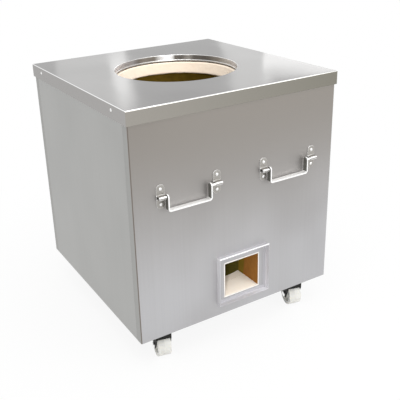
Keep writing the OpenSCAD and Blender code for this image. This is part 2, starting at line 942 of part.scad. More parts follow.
// Side outline of a fork leg: wide under the hood, rounded round the axle
module leg_outline() {
    axle = [-trail, axle_z];
    back = [crown_back, hood_z];
    lip = [-hood_y, hood_z - hood_drop];
    reach = leg_r - skim;
    translate(axle)
        circle(leg_r);
    polygon([
        back,
        [-hood_y, hood_z],
        lip,
        on_circle(axle, reach, touch_angle(lip, axle, reach, 1)),
        axle,
        on_circle(axle, reach, touch_angle(back, axle, reach, -1))
    ]);
}

// Fork: a round dished crown, a hood with a turned-down lip over the wheel, and two legs
module fork(corner) {
    rim_top = plate_z - hub_gap;
    color(dark_steel)
        at_castor(corner, true)
            difference() {
                union() {
                    translate([-leg_x - fork_t, -hood_y, crown_z])
                        cube([2 * (leg_x + fork_t), hood_y + crown_back, fork_t]);
                    translate([-leg_x - fork_t, -hood_y, hood_z - hood_drop])
                        cube([2 * (leg_x + fork_t), fork_t, hood_drop]);
                    translate([0, 0, crown_z])
                        difference() {
                            cylinder(r = crown_r, h = rim_top - crown_z);
                            translate([0, 0, fork_t])
                                cylinder(r = crown_r - fork_t, h = castor_h);
                        }
                    for (s = SIDES)
                        translate([s * (leg_x + fork_t / 2), 0, 0])
                            rotate([90, 0, 90])
                                linear_extrude(fork_t, center = true)
                                    leg_outline();
                }
                translate([0, 0, crown_z - eps])
                    cylinder(r = king_r + run_fit, h = fork_t + 2 * eps);
                translate([0, -trail, axle_z])
                    bar_x(axle_r, 2 * crown_r + 2 * fork_t);
            }
}

// Axle: a bolt through both legs, with its head on one side and a nut on the other
module axle(corner) {
    half = leg_x + fork_t;
    color(dark_steel)
        at_castor(corner, true)
            translate([0, -trail, axle_z]) {
                bar_x(axle_r, 2 * half + eps);
                for (s = SIDES)
                    translate([s * (half + axle_nut_h / 2), 0, 0])
                        rotate([0, 90, 0])
                            cylinder(d = axle_nut_w / cos(30), h = axle_nut_h, center = true, $fn = 6);
            }
}

// Wheel: a solid nylon tread with a recessed web and a bored hub
module wheel(corner) {
    r = wheel_d / 2;
    color(nylon)
        at_castor(corner, true)
            translate([0, -trail, axle_z])
                rotate([0, 90, 0])
                    difference() {
                        rotate_extrude() {
                            translate([0, -wheel_w / 2])
                                square([r - tread_r, wheel_w]);
                            translate([0, -wheel_w / 2 + tread_r])
                                square([r, wheel_w - 2 * tread_r]);
                            for (s = SIDES)
                                translate([r - tread_r, s * (wheel_w / 2 - tread_r)])
                                    circle(tread_r);
                        }
                        for (s = [0, 1])
                            mirror([0, 0, s])
                                translate([0, 0, wheel_w / 2 - web_depth])
                                    difference() {
                                        cylinder(r1 = web_r - web_draft, r2 = web_r, h = web_depth + eps);
                                        cylinder(r1 = hub_r + web_draft, r2 = hub_r, h = web_depth + eps);
                                    }
                        cylinder(r = axle_r + run_fit, h = 2 * wheel_w, center = true);
                    }
}

// Bolts that hold the castor plates to the bearers
module castor_bolts() {
    color(dark_steel)
        for (corner = CORNERS)
            at_castor(corner)
                for (x = SIDES, y = SIDES)
                    translate([x * bolt_pitch_w / 2, y * bolt_pitch_d / 2, plate_z - bolt_head_h]) {
                        cylinder(d = bolt_head_w / cos(30), h = bolt_head_h, $fn = 6);
                        cylinder(r = bolt_r, h = bolt_head_h + plate_t + bearer_t);
                    }
}

base_tray();
castor_bearers();
corner_posts();
top_rails();
front_panel();
back_panel();
side_panel(-1);  // left_panel
side_panel(1);  // right_panel
top_cap();
mouth_collar();
cap_rivets();
hearth_slab();
clay_pot();
mouth_seal();
fibre_blanket();
loose_fill();
vent_liner();
vent_frame();
handle_screws();
castor_bolts();
for (face = ENDS, hand = HANDS) {
    at_handle(hand, face)
            bail();
    for (place = ["outer", "inner"]) {
        side = (hand == "left" ? -1 : 1) * (face == "front" ? 1 : -1) * (place == "outer" ? 1 : -1);
        placed_bracket(hand, face, side);
    }
}
for (corner = CORNERS) {
    castor_plate(corner);
    king_pin(corner);
    ball_race(corner);
    fork(corner);
    axle(corner);
    wheel(corner);
}
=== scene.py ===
"""Looks of a square clay oven on castors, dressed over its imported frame.

Metres, +Z up, the front with its fire vent towards -Y. The origin is on the floor under the
middle of the cabinet. Sizes given in millimetres are turned to metres where they are used.
"""
import json
import math

import bmesh
import bpy
from mathutils import Matrix, Vector

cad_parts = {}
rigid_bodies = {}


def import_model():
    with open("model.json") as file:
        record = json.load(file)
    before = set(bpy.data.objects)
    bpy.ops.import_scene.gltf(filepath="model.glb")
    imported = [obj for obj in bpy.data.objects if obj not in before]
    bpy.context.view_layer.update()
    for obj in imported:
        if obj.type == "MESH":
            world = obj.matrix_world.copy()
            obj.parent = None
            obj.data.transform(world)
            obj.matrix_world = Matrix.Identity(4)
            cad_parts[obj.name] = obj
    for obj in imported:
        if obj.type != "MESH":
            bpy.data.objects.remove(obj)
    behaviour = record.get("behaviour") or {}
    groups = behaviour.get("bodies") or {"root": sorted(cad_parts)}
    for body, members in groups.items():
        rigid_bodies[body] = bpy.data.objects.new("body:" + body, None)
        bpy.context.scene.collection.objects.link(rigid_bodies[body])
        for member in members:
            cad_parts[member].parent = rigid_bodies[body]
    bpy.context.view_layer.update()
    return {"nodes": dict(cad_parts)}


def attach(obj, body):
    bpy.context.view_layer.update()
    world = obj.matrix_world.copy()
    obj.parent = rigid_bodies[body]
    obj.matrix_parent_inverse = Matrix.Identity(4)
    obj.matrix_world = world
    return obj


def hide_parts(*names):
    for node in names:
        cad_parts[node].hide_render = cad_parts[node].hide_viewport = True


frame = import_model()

MM = 0.001
scene = bpy.context.scene

# ---------------------------------------------------------------- sizes of the oven, millimetres
BODY_HALF = 355.0          # half the cabinet's width and depth
CAP_REACH = 360.0          # from the middle to just past the cap's side
CAP_OVER = 4.0             # how far the cap's flange stands out from the body
BODY_Z = 97.0              # the panels' lower edge
TOP_Z = 810.5              # the cap's top face
MOUTH_R = 198.0            # inside of the steel collar
COLLAR_H = 22.0
BEAD_R = 2.6               # the bead along the collar's lower edge
RIM_Z = 784.0              # the clay rim, under the collar
POT_Z = 144.0              # the hearth's top face
POT_FOOT_R, POT_BELLY_R, POT_NECK_R = 282.0, 308.0, 228.0
POT_WALL = 28.0
# the lip's foot and top, inside the collar's face, then its height, ledge and rounding
LIP_IN, LIP_TOP_IN, LIP_H, LIP_LEDGE, LIP_ROUND = 16.0, 7.0, 36.0, 14.0, 5.0
# the vent opening's middle, half width, height and lower edge
VENT_X, VENT_HALF_W, VENT_H, VENT_Z = 6.0, 63.0, 114.0, 156.0
SILL_Y = -200.0            # in front of this the pot's floor is the vent's sill
BAIL_X, BAIL_Z = 176.0, 550.5  # a bail's middle, and the height of its pins
# from bracket to bracket, the screws above and below the pins, and the brackets' sheet
BRACKET_PITCH, UPPER_SCREW, LOWER_SCREW, TAB_THICK = 185.0, 23.5, 22.0, 2.0
RIVET_INSET, RIVET_DROP = 82.0, 16.5  # from the body's corner, and from the cap's top
# the king pins, the axle's set-back from them, and the wheel
CASTOR_X, CASTOR_Y, TRAIL, WHEEL_R, WHEEL_W = 257.0, 278.0, 32.0, 37.5, 42.0
BOLT_X, BOLT_Y, PLATE_THICK = 37.0, 22.5, 3.0  # the castor plate's bolts, and its sheet
# each castor's side and end, and the degrees that its wheel is turned at rest
CORNERS = {"front_left": (-1, -1, -13), "front_right": (1, -1, -15),
           "back_left": (-1, 1, 12), "back_right": (1, 1, -5)}

# ---------------------------------------------------------------- grain of the sheet steel
STREAK_WIDE, STREAK_LONG = 4.0, 700.0      # millimetres
PATCHES_A_METRE, WAVES_A_METRE = 4.5, 3.2


# ---------------------------------------------------------------- small tools
def linear(code):
    """An sRGB hex colour as the linear RGBA that a shader takes."""
    parts = [int(code[i:i + 2], 16) / 255 for i in (1, 3, 5)]
    return (*[c / 12.92 if c <= 0.04045 else ((c + 0.055) / 1.055) ** 2.4 for c in parts], 1)


def join(tree, node, links):
    """Fills a node's inputs, by number or by name, from sockets, nodes or plain values.

    Only inputs in use go by name, and a node stands for its first output in use.
    """
    for key, value in links.items():
        entry = node.inputs[key] if isinstance(key, int) else next(
            socket for socket in node.inputs if socket.enabled and socket.name == key)
        if isinstance(value, bpy.types.Node):
            value = next(socket for socket in value.outputs if socket.enabled)
        if isinstance(value, bpy.types.NodeSocket):
            tree.links.new(value, entry)
        else:
            entry.default_value = value


def add(tree, kind, settings=None, links=None):
    """Adds a node with its settings and links."""
    node = tree.nodes.new(kind)
    for key, value in (settings or {}).items():
        setattr(node, key, value)
    join(tree, node, links or {})
    return node


def finish_of(name, constants):
    """A new material with one Principled shader: its tree, the shader and the object's place."""
    made = bpy.data.materials.new(name)
    made.use_nodes = True
    tree = made.node_tree
    tree.nodes.clear()
    shader = add(tree, "ShaderNodeBsdfPrincipled", links=constants)
    add(tree, "ShaderNodeOutputMaterial", links={"Surface": shader})
    place = add(tree, "ShaderNodeTexCoord").outputs["Object"]
    return made, tree, shader, place


def holder(name, data):
    """A new object of a mesh, lamp or camera, in the scene."""
    made = bpy.data.objects.new(name, data)
    scene.collection.objects.link(made)
    return made


def plain_mesh(thing, name):
    """The thing with its modifiers worked out, as a new plain mesh object at the origin."""
    bpy.context.view_layer.update()
    worked_out = thing.evaluated_get(bpy.context.evaluated_depsgraph_get())
    mesh = bpy.data.meshes.new_from_object(worked_out)
    mesh.transform(thing.matrix_world)
    old = thing.data
    bpy.data.objects.remove(thing)
    bpy.data.batch_remove([old])
    return holder(name, mesh)


def from_bmesh(name, bm):
    """A new object of an edited mesh, its doubles merged and its faces turned outwards."""
    bmesh.ops.remove_doubles(bm, verts=bm.verts, dist=1e-6)
    bmesh.ops.recalc_face_normals(bm, faces=bm.faces)
    mesh = bpy.data.meshes.new(name)
    bm.to_mesh(mesh)
    bm.free()
    return holder(name, mesh)


def dress(piece, finish, body, node, crease=35):
    """Gives a finished piece its material, smooth shading up to a crease and its body, and hides
    the node that it stands for.
    """
    piece.data.materials.clear()
    piece.data.materials.append(finish)
    piece.data.shade_smooth()
    piece.data.set_sharp_from_angle(angle=math.radians(crease))
    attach(piece, body)
    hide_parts(node)


# ---------------------------------------------------------------- finishes
IN_COLOUR = {"data_type": "RGBA"}
SMOOTH = {"interpolation_type": "SMOOTHSTEP"}


def facing(tree):
    """The way that a surface looks, as its X, Y and Z."""
    normal = add(tree, "ShaderNodeNewGeometry").outputs["Normal"]
    return add(tree, "ShaderNodeSeparateXYZ", links={"Vector": normal}).outputs


def bend_highlight_mask(tree, upright):
    """Where a sheet bends, to take a painted white highlight along each bend.

    Round an upright ring only the beads count, whose faces lean up or down.
    """
    size = add(tree, "ShaderNodeVectorMath", {"operation": "ABSOLUTE"},
               {0: add(tree, "ShaderNodeNewGeometry").outputs["Normal"]})
    parts = add(tree, "ShaderNodeSeparateXYZ", links={"Vector": size}).outputs
    if upright:
        return add(tree, "ShaderNodeMapRange", links={"Value": parts["Z"], "From Min": 0.15,
                                                      "From Max": 0.5})
    most = add(tree, "ShaderNodeMath", {"operation": "MAXIMUM"}, {0: parts["X"], 1: parts["Y"]})
    most = add(tree, "ShaderNodeMath", {"operation": "MAXIMUM"}, {0: most, 1: parts["Z"]})
    return add(tree, "ShaderNodeMapRange", links={"Value": most, "From Min": 0.97,
                                                  "From Max": 0.86})


def stainless(name, dark, light, grain, rough, top_shade=None, side_shading=(), bend_highlight=None, reflection_bands=(),
              film=1.0, highlight_above=0.0):
    """Cold-rolled stainless sheet, brushed with an abrasive belt along one axis.

    The belt leaves long hair lines about 0.3 mm wide, drawn here as 4 mm streaks so that they show.
    Thin sheet is never quite flat, so broad shallow waves bend what it mirrors, and handling
    leaves faint duller patches. A film of kitchen grease takes the edge off its shine at a
    glancing angle.

    Streaks run from dark to light along the axis grain. The tint that grows between two heights,
    darker and warmer, is painted shade. Each side tint, for the faces that turn to one axis from
    its left end to its right, is painted light and shade. The bends' colour above a height is a
    painted highlight, and the colours round a ring are painted reflections.
    """
    made, tree, shader, place = finish_of(name, {"Metallic": 1.0,
                                                 "Specular Tint": (film, film, film, 1)})
    stretch = [1 / (STREAK_WIDE * MM)] * 3
    stretch[grain] = 1 / (STREAK_LONG * MM)
    lines = add(tree, "ShaderNodeMapping", links={"Vector": place, "Scale": stretch})
    streak = add(tree, "ShaderNodeTexNoise", links={"Vector": lines, "Scale": 1.0, "Detail": 3.0})
    patch = add(tree, "ShaderNodeTexNoise", links={"Vector": place, "Scale": PATCHES_A_METRE,
                                                   "Detail": 1.0})
    patches = add(tree, "ShaderNodeMapRange", SMOOTH,
                  {"Value": patch, "From Min": 0.25, "From Max": 0.75})
    tone = add(tree, "ShaderNodeMath", {"operation": "MULTIPLY_ADD"},
               {0: streak, 1: 0.35, 2: add(tree, "ShaderNodeMath", {"operation": "MULTIPLY"},
                                            {0: patches, 1: 0.55})})
    colour = add(tree, "ShaderNodeMix", IN_COLOUR,
                 {"Factor": tone, "A": linear(dark), "B": linear(light)})
    at = add(tree, "ShaderNodeSeparateXYZ", links={"Vector": place}).outputs
    # painted shade: darker and warmer between two heights
    if top_shade:
        tint, low, high = top_shade
        top_shading = add(tree, "ShaderNodeMapRange", SMOOTH,
                   {"Value": at["Z"], "From Min": low, "From Max": high})
        colour = add(tree, "ShaderNodeMix", IN_COLOUR,
                     {"Factor": top_shading, "A": colour, "B": linear(tint)})
    # painted light and shade: faces turned to an axis take their own tone, shifting from left to
    # right
    for axis, start, end, left_tint, right_tint in side_shading:
        turn = add(tree, "ShaderNodeMapRange", links={"Value": facing(tree)[axis],
                                                      "From Min": start, "From Max": end})
        along = add(tree, "ShaderNodeMapRange", links={
            "Value": at["X"], "From Min": -CAP_REACH * MM, "From Max": CAP_REACH * MM})
        tint = add(tree, "ShaderNodeMix", IN_COLOUR,
                   {"Factor": along, "A": linear(left_tint), "B": linear(right_tint)})
        colour = add(tree, "ShaderNodeMix", IN_COLOUR, {"Factor": turn, "A": colour, "B": tint})
    if reflection_bands:
        # painted reflections: bright and dark bands across the ring, as it would mirror the room
        # and the pot
        turn = add(tree, "ShaderNodeTexGradient", {"gradient_type": "RADIAL"}, {"Vector": place})
        bands = add(tree, "ShaderNodeValToRGB", links={"Fac": turn.outputs["Fac"]})
        bands.color_ramp.interpolation = "EASE"
        stops = bands.color_ramp.elements
        for index, (spot, tint) in enumerate(reflection_bands):
            stop = stops[index] if index < 2 else stops.new(spot)
            stop.position, stop.color = spot, linear(tint)
        colour = add(tree, "ShaderNodeMix", {**IN_COLOUR, "blend_type": "MULTIPLY"},
                     {"Factor": 1.0, "A": colour, "B": bands.outputs["Color"]})
        # rolling lines run round the ring, so its highlights spread upright
        upright = add(tree, "ShaderNodeCombineXYZ", links={"Z": 1.0})
        join(tree, shader, {"Anisotropic": 0.9, "Tangent": upright})
    # painted highlight: bends above a height are coloured white
    if bend_highlight:
        reached = add(tree, "ShaderNodeMath", {"operation": "GREATER_THAN"},
                      {0: at["Z"], 1: highlight_above})
        bright = add(tree, "ShaderNodeMath", {"operation": "MULTIPLY"},
                     {0: bend_highlight_mask(tree, bool(reflection_bands)), 1: reached})
        colour = add(tree, "ShaderNodeMix", IN_COLOUR,
                     {"Factor": bright, "A": colour, "B": linear(bend_highlight)})
    dulled = add(tree, "ShaderNodeMix", links={"Factor": patches, "A": rough, "B": rough + 0.05})
    wave = add(tree, "ShaderNodeTexNoise", links={"Vector": place, "Scale": WAVES_A_METRE,
                                                  "Detail": 0.5})
    sag = add(tree, "ShaderNodeBump", links={"Height": wave, "Distance": 2.2 * MM})
    hair = add(tree, "ShaderNodeBump", links={"Height": streak, "Distance": 0.03 * MM,
                                              "Normal": sag})
    join(tree, shader, {"Base Color": colour, "Roughness": dulled, "Normal": hair})
    return made


def plated_steel(name, dark, light, rough, side_shading=None, bend_highlight=None):
    """Small steel parts, tumbled and zinc plated: pale grey, with a fine even grain of 0.8 mm.

    Faces turned to -X can take a darker tone as painted shade, and the bends a painted white
    highlight.
    """
    made, tree, shader, place = finish_of(name, {"Metallic": 1.0})
    grain = add(tree, "ShaderNodeTexNoise", links={"Vector": place, "Scale": 1 / (0.8 * MM),
                                                   "Detail": 2.0})
    bloom = add(tree, "ShaderNodeTexNoise", links={"Vector": place, "Scale": 1 / (9 * MM),
                                                   "Detail": 3.0})
    colour = add(tree, "ShaderNodeMix", IN_COLOUR,
                 {"Factor": bloom, "A": linear(dark), "B": linear(light)})
    # painted shade: faces turned to -X take a darker tone
    if side_shading:
        turn = add(tree, "ShaderNodeMapRange", links={"Value": facing(tree)["X"],
                                                      "From Min": -0.8, "From Max": -0.95})
        colour = add(tree, "ShaderNodeMix", IN_COLOUR,
                     {"Factor": turn, "A": colour, "B": linear(side_shading)})
    # painted highlight: the bends are coloured white
    if bend_highlight:
        colour = add(tree, "ShaderNodeMix", IN_COLOUR,
                     {"Factor": bend_highlight_mask(tree, False), "A": colour, "B": linear(bend_highlight)})
    dulled = add(tree, "ShaderNodeMix", links={"Factor": bloom, "A": rough, "B": rough + 0.12})
    bump = add(tree, "ShaderNodeBump", links={"Height": grain, "Distance": 0.02 * MM})
    join(tree, shader, {"Base Color": colour, "Roughness": dulled, "Normal": bump})
    return made


def painted_steel(name, deep, worn, rough):
    """Pressed steel under a baked enamel, greyer where hands and floor rub it; the castors' nearly
    black is partly enamel and partly painted shade.
    """
    made, tree, shader, place = finish_of(name, {"IOR": 1.5, "Specular IOR Level": 0.3})
    peel = add(tree, "ShaderNodeTexNoise", links={"Vector": place, "Scale": 1 / (1.4 * MM),
                                                  "Detail": 1.0})
    dust = add(tree, "ShaderNodeTexNoise", links={"Vector": place, "Scale": 1 / (14 * MM),
                                                  "Detail": 4.0})
    mask = add(tree, "ShaderNodeMapRange", links={"Value": dust, "From Min": 0.45,
                                                  "From Max": 0.75})
    colour = add(tree, "ShaderNodeMix", IN_COLOUR,
                 {"Factor": mask, "A": linear(deep), "B": linear(worn)})
    dulled = add(tree, "ShaderNodeMix", links={"Factor": mask, "A": rough, "B": rough + 0.2})
    bump = add(tree, "ShaderNodeBump", links={"Height": peel, "Distance": 0.03 * MM})
    join(tree, shader, {"Base Color": colour, "Roughness": dulled, "Normal": bump})
    return made


def moulded_nylon():
    """Injection-moulded nylon 6: milky white, satin, faintly cloudy, with scuffs on its tread."""
    made, tree, shader, place = finish_of("moulded_nylon_wheel", {
        "IOR": 1.53, "Subsurface Weight": 0.12, "Subsurface Scale": 2 * MM,
        "Subsurface Radius": (1.0, 0.9, 0.7)})
    cloud = add(tree, "ShaderNodeTexNoise", links={"Vector": place, "Scale": 1 / (16 * MM),
                                                   "Detail": 3.0})
    scuff = add(tree, "ShaderNodeTexNoise", links={"Vector": place, "Scale": 1 / (3 * MM),
                                                   "Detail": 5.0, "Roughness": 0.7})
    worn = add(tree, "ShaderNodeMapRange", links={"Value": scuff, "From Min": 0.52,
                                                  "From Max": 0.8})
    milky = add(tree, "ShaderNodeMix", IN_COLOUR,
                {"Factor": cloud, "A": linear("#E4E3DD"), "B": linear("#ECEBE6")})
    colour = add(tree, "ShaderNodeMix", IN_COLOUR,
                 {"Factor": worn, "A": milky, "B": linear("#DCDAD3")})
    dulled = add(tree, "ShaderNodeMix", links={"Factor": worn, "A": 0.38, "B": 0.6})
    bump = add(tree, "ShaderNodeBump", links={"Height": scuff, "Distance": 0.05 * MM})
    join(tree, shader, {"Base Color": colour, "Roughness": dulled, "Normal": bump})
    return made


def hand_formed_clay(name, pale, tan, soot_and_shade_top, soot_and_shade_low):
    """Coarse fireclay, hand coiled and smoothed, biscuit fired, then smoked by use.

    Its face is matt and cream, pitted by 2 mm chaff that burnt out and ridged by wet fingers
    about 25 mm wide. Below the lip it turns an olive black between two heights and stays dark
    beneath them, partly soot and partly painted shade for the unlit inside.
    """
    made, tree, shader, place = finish_of(name, {
        "IOR": 1.48, "Specular IOR Level": 0.25, "Diffuse Roughness": 0.6, "Roughness": 0.88})
    mottle = add(tree, "ShaderNodeTexNoise", links={"Vector": place, "Scale": 1 / (22 * MM),
                                                    "Detail": 5.0, "Roughness": 0.6})
    base = add(tree, "ShaderNodeMix", IN_COLOUR,
               {"Factor": mottle, "A": linear(pale), "B": linear(tan)})
    at = add(tree, "ShaderNodeSeparateXYZ", links={"Vector": place}).outputs
    ragged = add(tree, "ShaderNodeMath", {"operation": "MULTIPLY_ADD"},
                 {0: mottle, 1: 12 * MM, 2: at["Z"]})
    # soot and painted shade: dark olive below a height, for soot and the unlit inside
    soot_and_shade = add(tree, "ShaderNodeMapRange", SMOOTH,
                {"Value": ragged, "From Min": soot_and_shade_low * MM, "From Max": soot_and_shade_top * MM,
                 "To Min": 1.0, "To Max": 0.0})
    deep = add(tree, "ShaderNodeMix", IN_COLOUR,
               {"Factor": mottle, "A": linear("#665414"), "B": linear("#947724")})
    colour = add(tree, "ShaderNodeMix", IN_COLOUR, {"Factor": soot_and_shade, "A": base, "B": deep})
    # the sill of the vent is swept, and stays pale, out of the soot and painted shade
    flat = add(tree, "ShaderNodeMapRange", links={"Value": facing(tree)["Z"], "From Min": 0.75,
                                                  "From Max": 0.97})
    near = add(tree, "ShaderNodeMath", {"operation": "LESS_THAN"}, {0: at["Y"], 1: SILL_Y * MM})
    swept = add(tree, "ShaderNodeMath", {"operation": "MULTIPLY"}, {0: flat, 1: near})
    colour = add(tree, "ShaderNodeMix", IN_COLOUR,
                 {"Factor": swept, "A": colour, "B": linear("#F6ECDD")})
    ridges = add(tree, "ShaderNodeTexNoise", links={"Vector": place, "Scale": 1 / (25 * MM),
                                                    "Detail": 1.0})
    pits = add(tree, "ShaderNodeTexVoronoi", links={"Vector": place, "Scale": 1 / (5 * MM)})
    pit = add(tree, "ShaderNodeMapRange", links={"Value": pits, "From Min": 0.0,
                                                 "From Max": 0.25})
    soft = add(tree, "ShaderNodeBump", links={"Height": ridges, "Distance": 2.0 * MM})
    fine = add(tree, "ShaderNodeBump", links={"Height": pit, "Distance": 0.4 * MM,
                                              "Normal": soft})
    join(tree, shader, {"Base Color": colour, "Normal": fine})
    return made


def vent_clay():
    """The vent's clay tiles, cast smooth, with painted light and shade by the way each face turns.

    The floor is cream, the walls orange-brown, the roof olive black, and the edge that looks out of
    the vent pale grey.
    """
    made, tree, shader, place = finish_of("smoothed_vent_clay", {
        "IOR": 1.48, "Specular IOR Level": 0.25, "Diffuse Roughness": 0.6, "Roughness": 0.9})
    mottle = add(tree, "ShaderNodeTexNoise", links={"Vector": place, "Scale": 1 / (18 * MM),
                                                    "Detail": 5.0})
    side, sill, roof = [
        add(tree, "ShaderNodeMix", IN_COLOUR, {"Factor": mottle, "A": linear(a), "B": linear(b)})
        for a, b in (("#8A5A22", "#A87234"), ("#FFF9EE", "#FBF0E0"), ("#3E370F", "#574C18"))]
    looks, colour = facing(tree), side
    # painted light and shade by facing: the floor cream, the roof olive black and the front edge
    # pale grey
    for axis, sign, facing_tone in (("Z", 1, sill), ("Z", -1, roof), ("Y", -1, linear("#E6E3DE"))):
        turned_to = add(tree, "ShaderNodeMapRange", links={
            "Value": looks[axis], "From Min": sign * 0.4, "From Max": sign * 0.9})
        colour = add(tree, "ShaderNodeMix", IN_COLOUR,
                     {"Factor": turned_to, "A": colour, "B": facing_tone})
    grit = add(tree, "ShaderNodeTexNoise", links={"Vector": place, "Scale": 1 / (1.5 * MM),
                                                  "Detail": 3.0})
    bump = add(tree, "ShaderNodeBump", links={"Height": grit, "Distance": 0.3 * MM})
    join(tree, shader, {"Base Color": colour, "Normal": bump})
    return made


def packing(name, pale, shade, size, depth):
    """A matt filler, tamped or wrapped by hand: lumps of one size, shaded in their hollows."""
    made, tree, shader, place = finish_of(name, {"Roughness": 0.95, "Specular IOR Level": 0.2})
    lumps = add(tree, "ShaderNodeTexNoise", links={"Vector": place, "Scale": 1 / (size * MM),
                                                   "Detail": 5.0, "Roughness": 0.65})
    colour = add(tree, "ShaderNodeMix", IN_COLOUR,
                 {"Factor": lumps, "A": linear(shade), "B": linear(pale)})
    bump = add(tree, "ShaderNodeBump", links={"Height": lumps, "Distance": depth * MM})
    join(tree, shader, {"Base Color": colour, "Normal": bump})
    return made


# The front is rough enough to be an even grey, with painted shade that turns it darker and warmer
# towards its top. Its left corner bend has a painted dark line, and the strip turned on to the side
# is painted in the side's lit tone.
FRONT_STEEL = stainless("belt_brushed_stainless_front", "#B4B3B4", "#C6C6C8", 2, 0.54,
                        ("#96918B", 0.18, 0.80),
                        side_shading=(("X", -0.1, -0.45, "#837B74", "#837B74"),
                               ("X", -0.8, -0.97, "#ABABA9", "#ABABA9")))
SIDE_STEEL = stainless("belt_brushed_stainless_side", "#A5A5A3", "#B3B3B1", 2, 0.38)
# The cap is wiped daily, so it mirrors the lamps as soft pale washes. Its folded flanges are
# painted in lit and shaded greys, the front one as a painted reflection that darkens from left to
# right, and its bends take a painted white highlight.
CAP_STEEL = stainless("belt_brushed_stainless_cap", "#A3A2A1", "#B2B1B0", 1, 0.11,
                      bend_highlight="#FFFFFF", film=0.72,
                      side_shading=(("X", -0.5, -0.95, "#ACAAA8", "#ACAAA8"),
                             ("Y", -0.5, -0.95, "#A5A19A", "#8D8A80"),
                             ("X", 0.5, 0.95, "#A7A5A2", "#A7A5A2"),
                             ("Y", 0.5, 0.95, "#9A968F", "#9A968F")))
# The collar's bands are painted reflections, a bright patch at its back between darker bands, and
# its rim and bead take a painted white highlight
COLLAR_STEEL = stainless("rolled_stainless_collar", "#D8D7D5", "#F6F5F3", 2, 0.42,
                         bend_highlight="#FFFFFF", reflection_bands=(
                             (0.45, "#E6E4E6"), (0.51, "#D8D6D4"), (0.54, "#B6B1AA"),
                             (0.58, "#8A8580"), (0.612, "#8E8983"), (0.63, "#C2BEB9"),
                             (0.65, "#8A8580"), (0.668, "#8E8983"), (0.675, "#FFFFFF"),
                             (0.71, "#FFFFFF"), (0.73, "#8F8981"), (0.775, "#9A938C"),
                             (0.8, "#D2CFD2"), (0.9, "#E2E0E4")))
# The frame is left as rolled: a pale satin, with faces turned to the left painted lighter and front
# faces darker as painted light and shade, and a painted white highlight along its rolled top edge
FRAME_STEEL = stainless("folded_stainless_frame", "#D6D5D8", "#E0DFE2", 0, 0.55,
                        side_shading=(("X", -0.5, -0.95, "#EAE9EB", "#EAE9EB"),
                               ("Y", -0.5, -0.95, "#C2C1C4", "#C2C1C4")),
                        bend_highlight="#FFFFFF", highlight_above=0.28)
# Handles and brackets are one tumbled steel: the handles near white as painted light, with painted
# shade on faces turned to -X, and the brackets as dull as the panel behind, with a painted white
# highlight on their bends
HANDLE_STEEL = plated_steel("tumbled_stainless_handle", "#F2F1EF", "#FFFFFF", 0.62, "#84837E")
TAB_STEEL = plated_steel("tumbled_stainless_bracket", "#A19E99", "#B0ADA8", 0.4, None, "#FFFFFF")
# Screws, rivets and balls are the smoothest steel, so they glint
SCREW_STEEL = plated_steel("bright_zinc_screws", "#F2F2F0", "#FFFFFF", 0.24)
BALL_STEEL = plated_steel("polished_bearing_steel", "#C8C8C8", "#D8D8D8", 0.1)
# The hidden bars are a flat primer grey, and the castors a nearly black satin, partly enamel and
# partly painted shade under the body
FRAME_IRON = painted_steel("primed_mild_steel", "#5A5B5C", "#77787A", 0.55)
CASTOR_IRON = painted_steel("castor_steel_enamel_and_shade", "#0A0906", "#1B1A12", 0.5)
NYLON = moulded_nylon()
POT_CLAY = hand_formed_clay("hand_formed_fireclay", "#FCF0E0", "#F6E6D3", 758, 751)
# The imported insides, from an olive hearth and a dark mortar, both darkened as painted shade, to
# white fibre and golden grains
HEARTH_CLAY = packing("cast_hearth_clay", "#8C7F34", "#5E541E", 12, 1.0)
VENT_CLAY = vent_clay()
MORTAR = packing("fire_mortar_in_painted_shade", "#4E4436", "#332B21", 4, 0.6)
BLANKET = packing("needled_ceramic_fibre", "#F2F0EA", "#CFCCC2", 3, 1.2)
FILL = packing("loose_vermiculite", "#C9A86A", "#8A6A34", 5, 2.5)

NODE_FINISH = {
    "front_panel": FRONT_STEEL, "back_panel": FRONT_STEEL, "left_panel": SIDE_STEEL,
    "right_panel": SIDE_STEEL, "top_cap": CAP_STEEL, "mouth_collar": COLLAR_STEEL,
    "cap_rivets": SCREW_STEEL, "vent_frame": FRAME_STEEL, "base_tray": FRAME_IRON,
    "castor_bearers": FRAME_IRON, "corner_posts": FRAME_IRON, "top_rails": FRAME_IRON,
    "hearth_slab": HEARTH_CLAY, "clay_pot": POT_CLAY, "mouth_seal": MORTAR,
    "fibre_blanket": BLANKET, "loose_fill": FILL, "vent_liner": VENT_CLAY,
    "handle_screws": SCREW_STEEL, "castor_bolts": SCREW_STEEL,
}
NODE_PREFIX = {"bracket_": TAB_STEEL, "bail_": HANDLE_STEEL, "castor_plate_": CASTOR_IRON,
               "king_pin_": SCREW_STEEL, "ball_race_": BALL_STEEL, "fork_": CASTOR_IRON,
               "axle_": SCREW_STEEL, "wheel_": NYLON}
for node, solid in frame["nodes"].items():
    finish = NODE_FINISH.get(node) or next(
        made for start, made in NODE_PREFIX.items() if node.startswith(start))
    for slot in solid.material_slots:
        slot.material = finish
    if not solid.material_slots:
        solid.data.materials.append(finish)


# ---------------------------------------------------------------- geometry node trees
def tree_of(name, inputs):
    """A new Geometry Nodes tree with named inputs: the tree and its input node."""
    tree = bpy.data.node_groups.new(name, "GeometryNodeTree")
    tree.is_modifier = True
    tree.interface.new_socket("Geometry", in_out="INPUT", socket_type="NodeSocketGeometry")
    for label, kind, value in inputs:
        socket = tree.interface.new_socket(label, in_out="INPUT", socket_type=kind)
        if value is not None:
            socket.default_value = value
    tree.interface.new_socket("Geometry", in_out="OUTPUT", socket_type="NodeSocketGeometry")
    return tree, add(tree, "NodeGroupInput")


